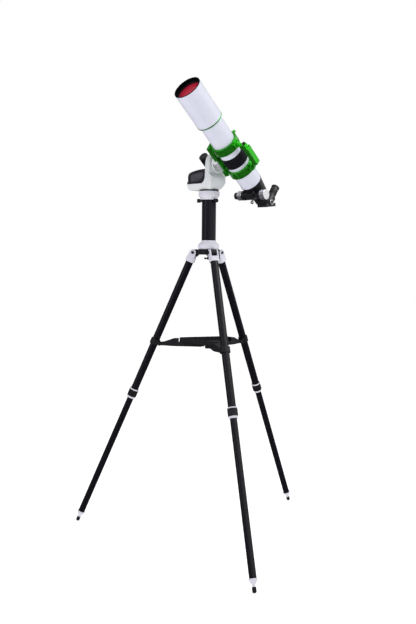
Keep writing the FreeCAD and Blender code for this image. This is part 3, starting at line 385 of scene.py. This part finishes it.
def plate(name, outline, front, back, material, body, place):
    """Thin plate in the X, Z plane with a chamfered front edge."""
    inset = 0.6
    chamfer = 0.4
    count = len(outline)
    middle = sum((Vector(point) for point in outline), Vector((0, 0))) / count
    inner = [tuple(Vector(point) + (middle - Vector(point)).normalized() * inset) for point in outline]
    vertices = [(x * MM, back * MM, z * MM) for x, z in outline]
    vertices += [(x * MM, (front + chamfer) * MM, z * MM) for x, z in outline]
    vertices += [(x * MM, front * MM, z * MM) for x, z in inner]
    faces = [tuple(range(count)), tuple(range(3 * count - 1, 2 * count - 1, -1))]
    for row in (0, count):
        for index in range(count):
            after = (index + 1) % count
            faces.append((row + index, row + count + index, row + count + after, row + after))
    mesh = bpy.data.meshes.new(name)
    mesh.from_pydata(vertices, [], faces)
    mesh.update()
    shade(mesh)
    return add_piece(name, mesh, material, body, (), place)


def softened(name, node, voxel, rounds, material, body, squeeze=0.0):
    """Cast or moulded body: a copy of the CAD node with its edges melted round.

    The voxel size is in mm, and squeeze is the share of the faces that is kept.
    """
    holder = bpy.data.objects.new(name + "_draft", NODES[node].data.copy())
    bpy.context.scene.collection.objects.link(holder)
    remesh = holder.modifiers.new("cells", "REMESH")
    remesh.mode = "VOXEL"
    remesh.voxel_size = voxel * MM
    smooth = holder.modifiers.new("melt", "SMOOTH")
    smooth.factor = 0.5
    smooth.iterations = rounds
    if squeeze:
        fewer = holder.modifiers.new("fewer", "DECIMATE")
        fewer.ratio = squeeze
    mesh = evaluated(holder)
    mesh.materials.clear()
    shade(mesh, 60)
    return add_piece(name, mesh, material, body, (node,))


def dress(node, material):
    """Give a CAD node its material."""
    holder = NODES[node]
    if not holder.material_slots:
        holder.data.materials.append(material)
    for place in holder.material_slots:
        place.material = material


# ---- tripod ---------------------------------------------------------------------------
TOP_RING_TALL = 4.5
LOW_RING_TALL = 8
FOOT_TIP_TALL = 20.0
FOOT_NECK_TALL = 8.5


def lock_pieces(side):
    """Twist lock: white ring, ribbed black collar and white cone below it."""
    place = leg_frame(side)
    body = f"twist_lock_{side}"
    low, high = (value / MM for value in depth(body, place))
    top = high - TOP_RING_TALL
    bottom = low + LOW_RING_TALL
    bore = 15.4
    cone_bore = 13.4
    top_ring = [(bore, top), (19.2, top), (19.2, high - 1), (18.2, high), (bore, high)]
    collar = [(bore, bottom), (18.3, bottom), (18.9, bottom + 2.5), (18.9, bottom + 5),
              (18.9, top - 5), (18.9, top - 2.5), (18.3, top), (bore, top)]
    low_ring = [(cone_bore, low), (15.6, low), (17.8, low + 3.5), (18.0, bottom), (cone_bore, bottom)]
    turned(f"lock_top_ring_{side}", top_ring, WHITE_PLASTIC, body, place, 0.8, (body,), "white_plastic")
    turned(f"lock_collar_{side}", collar, BLACK_PLASTIC, body, place, 0.5, slot="black_plastic",
           ribs=30, rib_depth=1.0, rib_between=(bottom + 2, top - 2, 18.5))
    turned(f"lock_low_ring_{side}", low_ring, WHITE_PLASTIC, body, place, 0.7, slot="white_plastic")


def foot_pieces(side):
    """White collar and neck, and the ribbed rubber tip."""
    place = leg_frame(side)
    body = f"lower_leg_{side}"
    low, high = (value / MM for value in depth(f"foot_{side}", place))
    neck = low + FOOT_TIP_TALL
    cone = neck + FOOT_NECK_TALL
    collar = [(2, neck), (5.5, neck), (5.5, cone), (9, cone + 2), (14.6, high - 8), (15.6, high - 7),
              (15.6, high - 2), (14.8, high), (13.1, high), (13.1, high - 5), (2, high - 5)]
    tip = [(CORE, low + 0.7), (2.6, low + 0.8), (5.4, low + 2.2), (7.2, low + 4.6), (7.8, low + 8),
           (7.3, low + 10), (7.8, low + 12), (7.3, low + 14), (7.8, low + 16), (7.2, neck + 0.2),
           (5.6, neck + 0.8), (CORE, neck + 0.8)]
    turned(f"foot_collar_{side}", collar, WHITE_PLASTIC, body, place, 0.7, (f"foot_{side}",),
           "white_plastic")
    turned(f"foot_tip_{side}", tip, RUBBER, body, place, 0.8, slot="rubber")


for side in SIDES:
    tube_look = leg_material(side)
    dress(f"upper_tube_{side}", tube_look)
    dress(f"lower_tube_{side}", tube_look)
    lock_pieces(side)
    foot_pieces(side)
    softened(f"bracket_{side}", f"leg_bracket_{side}", 0.9, 3, WHITE_PLASTIC, f"leg_{side}")
    dress(f"spreader_clamp_{side}", BLACK_PLASTIC)
    dress(f"spreader_arm_{side}", BLACK_PLASTIC)

for node, look in (("hub_plate", BLACK_PLASTIC), ("hinge_bolts", BLACK_METAL), ("centre_bolt", BLACK_METAL),
                   ("pillar_base_flange", WHITE_PLASTIC), ("pillar_tube", CHARCOAL_PAINT),
                   ("pillar_top_flange", WHITE_PLASTIC), ("pillar_screws", BLACK_PLASTIC),
                   ("azimuth_base", BLACK_PLASTIC), ("spreader_hub", BLACK_PLASTIC),
                   ("accessory_tray", BLACK_PLASTIC), ("tray_knob", BLACK_PLASTIC)):
    dress(node, look)

# ---- mount ----------------------------------------------------------------------------
softened("mount_case", "mount_shell", 1.3, 26, WHITE_CASE, "mount", 0.5)
softened("battery_box", "battery_cover", 1.3, 7, BATTERY_GREY, "mount", 0.5)
for node, look in (("battery_cells", CELL_WRAP), ("altitude_shaft", STEEL), ("saddle", WHITE_CASE),
                   ("saddle_jaw", WHITE_CASE), ("saddle_knob", BLACK_PLASTIC), ("sun_sensor", BLACK_METAL)):
    dress(node, look)

# ---- telescope ------------------------------------------------------------------------
for node, look in (("dovetail_bar", GREEN), ("ring_base_front", GREEN), ("ring_base_rear", GREEN),
                   ("ring_cap_front", GREEN), ("ring_cap_rear", GREEN), ("ring_screws", GREEN),
                   ("carry_handle", GREEN), ("main_tube", WHITE_PAINT), ("dew_shield", WHITE_PAINT),
                   ("trim_ring", GREEN), ("objective_cell", BLACK_METAL), ("objective_lens", LENS_RED_REFLECTION),
                   ("focuser_housing", BLACK_METAL), ("drawtube", BLACK_METAL),
                   ("pinion_shaft", BLACK_METAL), ("coarse_knobs", SILVER), ("fine_knob", BLACK_METAL),
                   ("star_diagonal", BLACK_METAL)):
    dress(node, look)


def dew_shield_lining():
    """Flat black lining with shallow baffles, and the lip round the mouth."""
    low, high = (value / MM for value in depth("dew_shield", TUBE))
    inner = 49.25
    lip_outer = 51.05
    lip_inner = 48.6
    ridges = 9
    pitch = (high - low - 12) / ridges / 3
    corners = [(lip_outer, high - 1.2), (lip_outer, high + 0.5), (lip_inner, high + 0.5),
               (lip_inner, high - 1.0)]
    for ridge in range(ridges):
        z = high - 2.0 - ridge * pitch
        corners += [(inner - 0.35, z), (inner - 0.35, z - pitch * 0.45), (inner - 0.05, z - pitch * 0.55)]
    corners += [(inner - 0.05, low + 6), (inner + 0.1, low + 6), (inner + 0.1, high - 1.2)]
    turned("dew_shield_lining", corners, FLAT_BLACK_LINING_AND_SLOT_SHADE, "dew_shield", TUBE, 0.15, slot="black_anodised",
           segments=128)


def tube_grip_piece():
    """Rubber band with fine lengthwise ribs between two smooth rims."""
    low, high = (value / MM for value in depth("tube_grip", TUBE))
    inner = 43.65
    outer = 45.5
    corners = [(inner, low), (outer - 0.1, low), (outer, low + 3), (outer, low + 4), (outer, high - 4),
               (outer, high - 3), (outer - 0.1, high), (inner, high)]
    turned("tube_grip_ribbed", corners, GRIP_RUBBER, "telescope", TUBE, 0.4, ("tube_grip",), "rubber",
           ribs=72, rib_depth=0.7, rib_between=(low + 3.2, high - 3.2, outer - 0.5))


def elbow():
    """Point where the eyepiece's axis meets the tube's axis."""
    origin = Vector(JOINTS["diagonal_turn"]["pos_m"])
    low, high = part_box("eyepiece")
    shift = ((low + high) / 2 - origin).dot(-ALONG)
    return origin - ALONG * shift


def eyepiece_piece():
    """Eyepiece with a grooved grip band and a folded rubber eyecup."""
    place = basis(elbow(), NORMAL, -ALONG, ACROSS)
    low, high = (value / MM for value in depth("eyepiece", place))
    grip_low = low + 32
    grooves = 5
    groove_pitch = 3.6
    corners = [(12, low), (15.7, low), (15.8, low + 18), (17.2, low + 19.6), (17.4, low + 26),
               (16.0, low + 27.5)]
    for groove in range(grooves):
        z = grip_low + groove * groove_pitch
        corners += [(16.0, z), (15.3, z + 0.8), (15.3, z + 1.6), (16.0, z + 2.4)]
    corners += [(16.0, high - 20), (15.6, high - 10), (16.9, high - 4), (17.0, high - 0.8), (16.2, high),
                (12.0, high), (9.0, high - 9), (2.0, high - 9.5), (2.0, low + 20), (12, low + 19)]
    turned("eyepiece_body", corners, BLACK_METAL, "eyepiece", place, 0.5, ("eyepiece",), "black_plastic")


def handle_screw():
    """Black knurled head over the screw on the handle's front block."""
    high = depth("carry_handle", TUBE)[1] / MM
    place = TUBE @ Matrix.Translation((0.080, 0.003, 0))
    corners = [(CORE, high - 5.1), (4.7, high - 5.1), (5.1, high - 4.4), (5.1, high - 0.4),
               (4.5, high + 0.3), (CORE, high + 0.3)]
    turned("handle_screw_head", corners, BLACK_PLASTIC, "ring_caps", place, 0.3, slot="black_plastic",
           ribs=18, rib_depth=0.4, rib_between=(high - 4.2, high - 0.6, 5.0))


def diagonal_ring():
    """Silver ring round the cap on the diagonal's side."""
    offset = 0.008
    centre = elbow() + ACROSS * offset + ALONG * offset
    place = basis(centre, ACROSS, ALONG, NORMAL)
    inner, outer = 8.4, 10.3
    low, high = 26.6, 27.6
    turned("diagonal_side_ring", [(inner, low), (outer, low), (outer, high), (inner, high)], SILVER,
           "diagonal", place, 0.3, slot="silver")


def focus_lock():
    """Small bright thumb screw under the focuser."""
    low = min((TUBE.inverted() @ vertex.co).y for vertex in NODES["focuser_housing"].data.vertices)
    sideways = 0.011
    sunk = 0.0065
    along = -0.153
    centre = TUBE @ Vector((sideways, low + sunk, along))
    place = basis(centre, NORMAL, ALONG, -ACROSS)
    stem, head = 2.6, 6.4
    start, end = -6, 14
    corners = [(CORE, start), (stem, start), (stem, 4), (head, 4.4), (head, end - 1), (head - 1, end),
               (CORE, end)]
    turned("focus_lock_screw", corners, SILVER, "telescope", place, 0.4, slot="silver", ribs=16,
           rib_depth=0.45, rib_between=(5, end - 1.4, head - 0.2))


def sensor_window():
    """Dark round window in the solar finder's end."""
    face = depth("sun_sensor", TUBE)[1] / MM
    place = TUBE @ Matrix.Translation((PILLAR.x - 0.004 - TUBE_ORIGIN.x, 0.004, 0))
    radius = 8.9
    corners = [(CORE, face - 2.3), (radius, face - 2.3), (radius, face - 1.6), (5, face - 1.1),
               (CORE, face - 0.9)]
    turned("sensor_window", corners, WINDOW, "altitude", place, 0.2, slot="black_plastic")


def battery_details():
    """Raised panel, a dark plate painted as the shade of the slot on the battery box, and the catch on the
    tail's corner.
    """
    low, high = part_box("battery_cover")
    place = Matrix.Translation(low)
    wide = (high.x - low.x) / MM
    tall = (high.z - low.z) / MM
    panel_outline = [(17, 9), (wide - 44, 9), (wide - 25, 14), (wide - 13, 28), (wide - 12, tall - 12),
                     (wide - 32, tall - 14), (24, tall - 19), (17, tall - 25)]
    slot_outline = [(5.5, 12), (9.5, 12), (9.5, 32), (5.5, 32)]
    plate("battery_panel", soft_profile(panel_outline, 7, 5), -0.9, 1.0, PANEL_GREY, "mount", place)
    # Painted shade: the dark plate stands in for the shadow inside the slot.
    plate("battery_slot_shade", soft_profile(slot_outline, 1.5), -0.4, 1.0, BLACK_PLASTIC, "mount", place)
    rounded_box("tail_catch", (-4.5, 1, -1.5), (2.5, 14, 9), 1.2, BLACK_PLASTIC, "mount", place)


def slot_shade_bands():
    """Painted shade: dark bands laid over the three slots round the fixed jaw, standing in for the shadow
    inside them.
    """
    deep = 24.6  # mm from the saddle's outer end back to the slotted block's face
    face = max((TUBE.inverted() @ vertex.co).x for vertex in NODES["saddle"].data.vertices) / MM - deep
    radius = 33.65
    thick = 0.8
    wide = 3.6
    pitch = 7
    middle = 8.0
    steps = 14
    first_angle = math.radians(-119)
    last_angle = math.radians(-56)
    for index in range(3):
        start = face + 3.7 + index * pitch
        ring = []
        for step in range(steps + 1):
            angle = first_angle + (last_angle - first_angle) * step / steps
            for reach in (radius - thick, radius):
                for across in (start, start + wide):
                    point = Vector((across, reach * math.sin(angle), middle + reach * math.cos(angle)))
                    ring.append(tuple(point * MM))
        faces = [(0, 1, 3, 2), (4 * steps, 4 * steps + 2, 4 * steps + 3, 4 * steps + 1)]
        for step in range(steps):
            low = 4 * step
            for first, second in ((0, 1), (1, 3), (3, 2), (2, 0)):
                faces.append((low + first, low + 4 + first, low + 4 + second, low + second))
        mesh = bpy.data.meshes.new(f"saddle_slot_shade_band_{index}")
        mesh.from_pydata(ring, [], faces)
        mesh.update()
        shade(mesh)
        # Painted shadow: the flat black band stands in for the shade inside the slot.
        add_piece(f"saddle_slot_shade_band_{index}", mesh, FLAT_BLACK_LINING_AND_SLOT_SHADE, "altitude", (), TUBE)


dew_shield_lining()
tube_grip_piece()
eyepiece_piece()
slot_shade_bands()
handle_screw()
diagonal_ring()
focus_lock()
sensor_window()
battery_details()


# ---- stage, light and camera ----------------------------------------------------------
CAMERA_DISTANCE = 2.9167
CAMERA_HEIGHT = 1.131
CAMERA_PITCH = 4.48
CAMERA_ROLL = 0.53
CAMERA_LENS = 42.38
AZIMUTH = math.radians(40.4)
FORWARD = Vector((-math.sin(AZIMUTH), math.cos(AZIMUTH), 0))
RIGHT = Vector((math.cos(AZIMUTH), math.sin(AZIMUTH), 0))
UP = Vector((0, 0, 1))
MIDDLE = Vector((PILLAR.x, PILLAR.y, 1.25))
AMBIENT = 0.52
MIRRORED_LOW = 0.26
MIRRORED_HIGH = 1.9
KEY_WATTS = 46
FILL_WATTS = 18
FILL_TINT = (0.96, 0.88, 1.0)


def stage():
    """Plain pale floor under the feet."""
    half = 12.0
    mesh = bpy.data.meshes.new("floor")
    mesh.from_pydata([(-half, -half, 0), (half, -half, 0), (half, half, 0), (-half, half, 0)], [],
                     [(0, 1, 2, 3)])
    floor = bpy.data.objects.new("floor", mesh)
    look = Look("pale_floor")
    mirrored = look.node("ShaderNodeLightPath").outputs["Is Glossy Ray"]
    tone = look.blend(look.ramp(look.noise(0.4), 0.0, 1.0), (0.93, 0.93, 0.935), (0.95, 0.95, 0.95))
    tone = look.blend(mirrored, tone, (0.10, 0.10, 0.11))
    glow = look.ramp(mirrored, 0.55, 0.0, 0.0, 1.0)
    mesh.materials.append(look.finish(Base_Color=tone, Roughness=0.9, Emission_Color=(1.0, 1.0, 1.0),
                                      Emission_Strength=glow))
    bpy.context.scene.collection.objects.link(floor)


def area_light(name, place, target, size, power, colour=(1, 1, 1)):
    """Rectangular soft light that looks at a target."""
    light = bpy.data.lights.new(name, "AREA")
    light.shape = "RECTANGLE"
    light.size, light.size_y = size
    light.energy = power
    light.color = colour
    holder = bpy.data.objects.new(name, light)
    holder.location = place
    holder.rotation_euler = (Vector(target) - Vector(place)).to_track_quat("-Z", "Y").to_euler()
    bpy.context.scene.collection.objects.link(holder)


def world_light():
    """White surroundings that light softly and are mirrored bright on the key side only."""
    world = bpy.data.worlds.new("studio")
    world.use_nodes = True
    tree = world.node_tree
    background = tree.nodes["Background"]
    background.inputs["Color"].default_value = (1, 1, 1, 1)

    def math_node(operation, first, second):
        made = tree.nodes.new("ShaderNodeMath")
        made.operation = operation
        for socket, value in zip(made.inputs, (first, second)):
            if isinstance(value, bpy.types.NodeSocket):
                tree.links.new(value, socket)
            else:
                socket.default_value = value
        return made.outputs[0]

    place = tree.nodes.new("ShaderNodeTexCoord")
    dot = tree.nodes.new("ShaderNodeVectorMath")
    dot.operation = "DOT_PRODUCT"
    dot.inputs[1].default_value = (RIGHT * 0.55 + UP * 0.75 - FORWARD * 0.3).normalized()
    tree.links.new(place.outputs["Generated"], dot.inputs[0])
    spread = tree.nodes.new("ShaderNodeMapRange")
    for key, number in (("From Min", 0.1), ("From Max", 0.95), ("To Min", MIRRORED_LOW),
                        ("To Max", MIRRORED_HIGH)):
        spread.inputs[key].default_value = number
    tree.links.new(dot.outputs["Value"], spread.inputs["Value"])
    ray = tree.nodes.new("ShaderNodeLightPath")
    glossy = math_node("MULTIPLY", ray.outputs["Is Glossy Ray"],
                       math_node("SUBTRACT", spread.outputs["Result"], AMBIENT))
    lit = math_node("ADD", glossy, AMBIENT)
    seen = math_node("MULTIPLY", ray.outputs["Is Camera Ray"], math_node("SUBTRACT", 1.0, lit))
    tree.links.new(math_node("ADD", lit, seen), background.inputs["Strength"])
    bpy.context.scene.world = world


def camera():
    """Camera at the photograph's angle, looking at the pillar."""
    data = bpy.data.cameras.new("photo_view")
    data.sensor_fit = "AUTO"
    data.sensor_width = 36.0
    data.lens = CAMERA_LENS
    data.clip_start = 0.05
    holder = bpy.data.objects.new("photo_view", data)
    place = Vector((PILLAR.x, PILLAR.y, CAMERA_HEIGHT))
    place -= CAMERA_DISTANCE * FORWARD
    turn = Matrix.Rotation(AZIMUTH, 4, "Z")
    turn = turn @ Matrix.Rotation(math.radians(90 - CAMERA_PITCH), 4, "X")
    turn = turn @ Matrix.Rotation(math.radians(CAMERA_ROLL), 4, "Z")
    holder.matrix_world = Matrix.Translation(place) @ turn
    bpy.context.scene.collection.objects.link(holder)
    bpy.context.scene.camera = holder


stage()
world_light()
camera()
area_light("key_right", MIDDLE + RIGHT * 2.4 - FORWARD * 1.2 + UP * 2.0, MIDDLE, (1.2, 1.6), KEY_WATTS)
area_light("fill_left", MIDDLE - RIGHT * 2.6 - FORWARD * 1.6 + UP * 0.6, MIDDLE, (0.8, 2.4), FILL_WATTS,
           FILL_TINT)
bpy.context.scene.view_settings.view_transform = "Standard"
